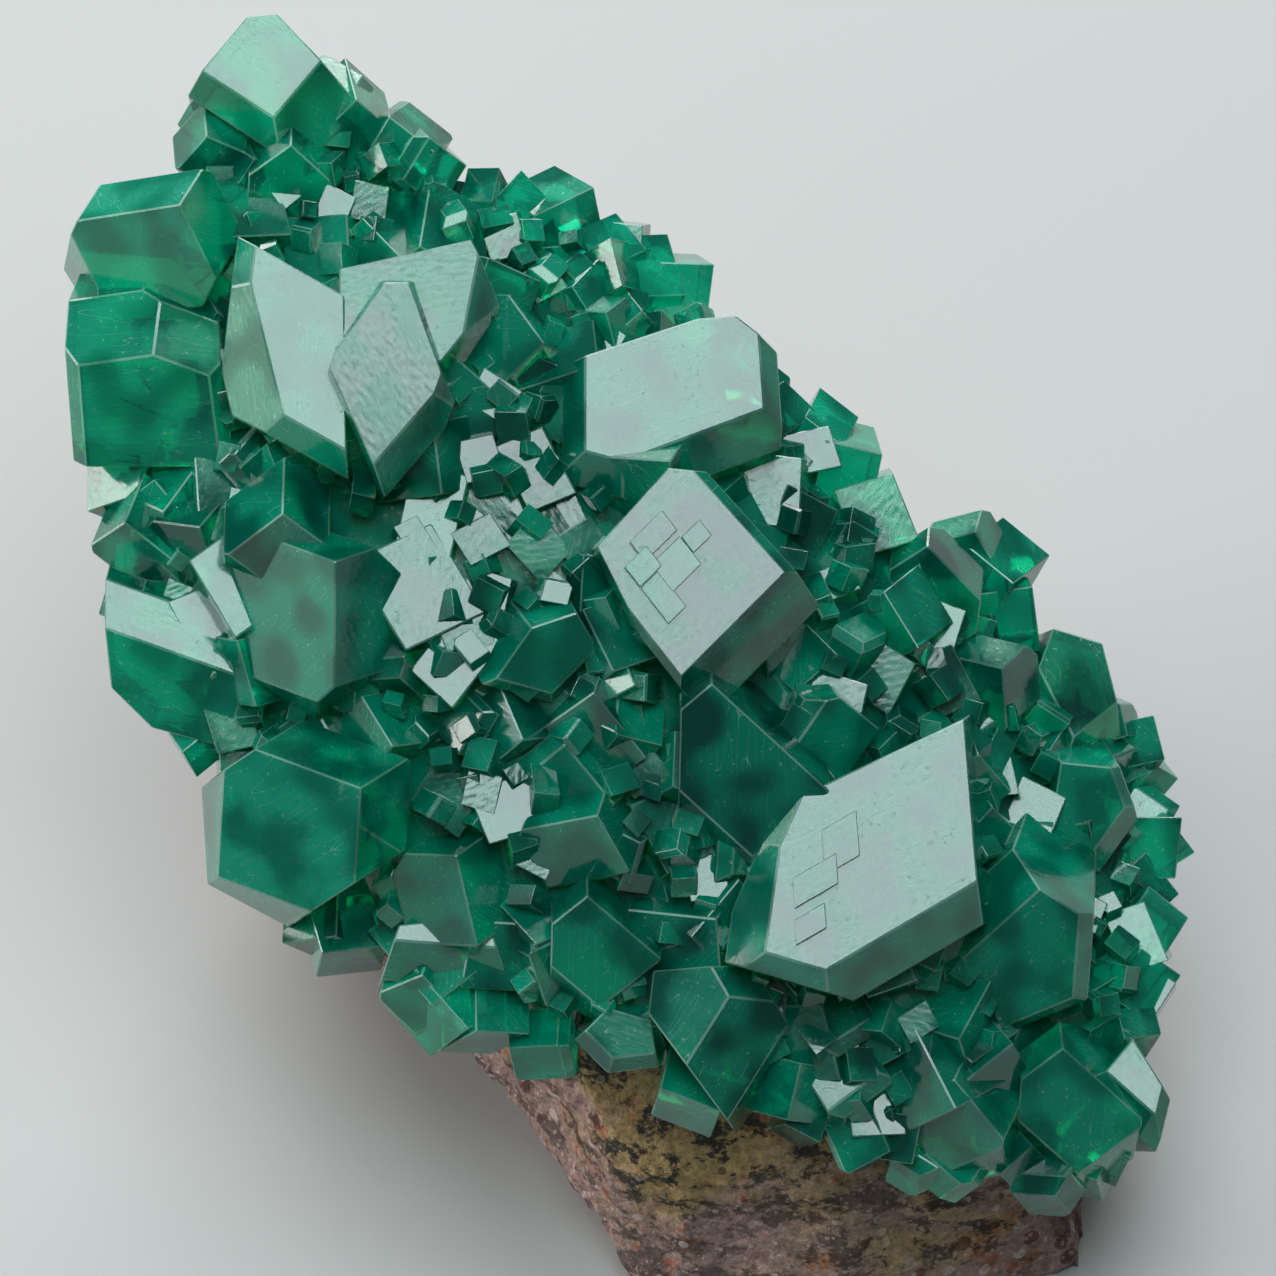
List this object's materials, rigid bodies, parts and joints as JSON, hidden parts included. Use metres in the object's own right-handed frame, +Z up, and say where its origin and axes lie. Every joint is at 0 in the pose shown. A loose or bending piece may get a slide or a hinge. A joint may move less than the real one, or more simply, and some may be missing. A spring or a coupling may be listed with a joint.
{
  "type": "dioptase crystal specimen",
  "caption": "Crust of intergrown blocky emerald-green dioptase crystals on a wedge of brown and pinkish-grey matrix rock with a flat broken foot.",
  "frame": {"origin": "middle of the bounding box on the ground, under the specimen", "axes": "+Z up, +X along the crust's long diagonal toward its low end; the crust faces up and toward -Y"},
  "size_m": [0.0526, 0.0353, 0.0409],
  "materials": {
    "dioptase_crystals": "glassy emerald-green crystal faces, some frosted and etched",
    "matrix_rock": "rough broken rock, ochre and rust brown to pinkish grey"
  },
  "bodies": {
    "root": {"dioptase_crystals": "dioptase_crystals", "matrix_rock": "matrix_rock"}
  },
  "joints": []
}
